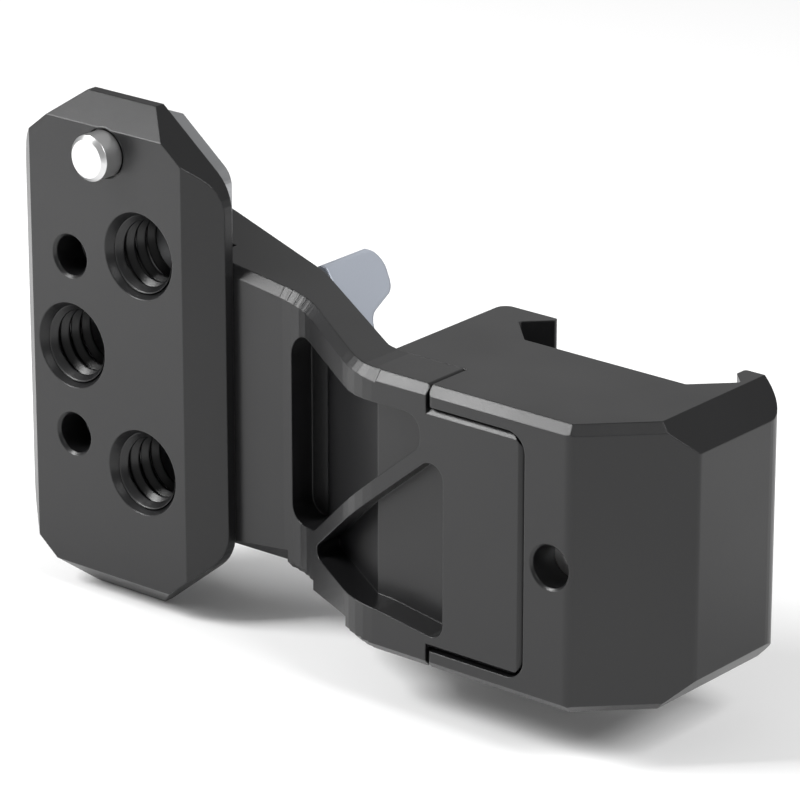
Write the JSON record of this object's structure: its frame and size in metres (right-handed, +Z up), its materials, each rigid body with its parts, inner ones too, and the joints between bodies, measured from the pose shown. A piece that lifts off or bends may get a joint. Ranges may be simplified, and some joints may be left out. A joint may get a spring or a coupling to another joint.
{
  "type": "offset accessory arm",
  "caption": "Cranked accessory arm with a rail clamp body, cam lever, bevelled plate with threaded holes and a locating pin.",
  "frame": {"origin": "centre of the rail channel's floor", "axes": "+Y out of the channel towards the rail, +Z up along the rail, X across the rail with the accessory plate on the -X side"},
  "size_m": [0.0671, 0.0192, 0.0426],
  "materials": {
    "anodised_dark": "bead-blasted black anodised",
    "bare_aluminium": "fine machined",
    "lever_grey": "satin grey anodised",
    "bright_steel": "ground",
    "black_steel": "black oxide",
    "bronze": "sintered bronze",
    "rubber_black": "matt",
    "polymer_natural": "satin"
  },
  "bodies": {
    "frame": {"clamp_body": "anodised_dark", "offset_arm": "anodised_dark", "accessory_plate": "anodised_dark", "backing_plate": "bare_aluminium", "locating_pin": "bright_steel", "backing_screws": "bright_steel", "plate_screws": "black_steel", "plate_dowels": "bright_steel", "arm_screws": "black_steel", "arm_dowels": "bright_steel", "shaft_bush": "bronze", "end_bush": "bronze", "retaining_screw": "bright_steel", "thrust_washer": "polymer_natural"},
    "cam_lever": {"cam_shaft": "bright_steel", "lever": "lever_grey", "lever_washer": "bright_steel", "lever_screw": "bright_steel", "shaft_ring": "rubber_black"},
    "clamp_bar": {"pressure_bar": "bare_aluminium", "bar_pad": "rubber_black"}
  },
  "joints": [
    {"name": "lever_swing", "type": "hinge", "parent": "frame", "child": "cam_lever", "pos_m": [0, -0.0037, 0], "axis": [-1, 0, 0], "range_deg": [0, 90]},
    {"name": "bar_slide", "type": "slide", "parent": "frame", "child": "clamp_bar", "axis": [0, 1, 0], "range_m": [0, 0.001]}
  ],
  "couplings": [
    {"joint": "bar_slide", "follows": "lever_swing", "m_per_rad": 0.00063}
  ]
}
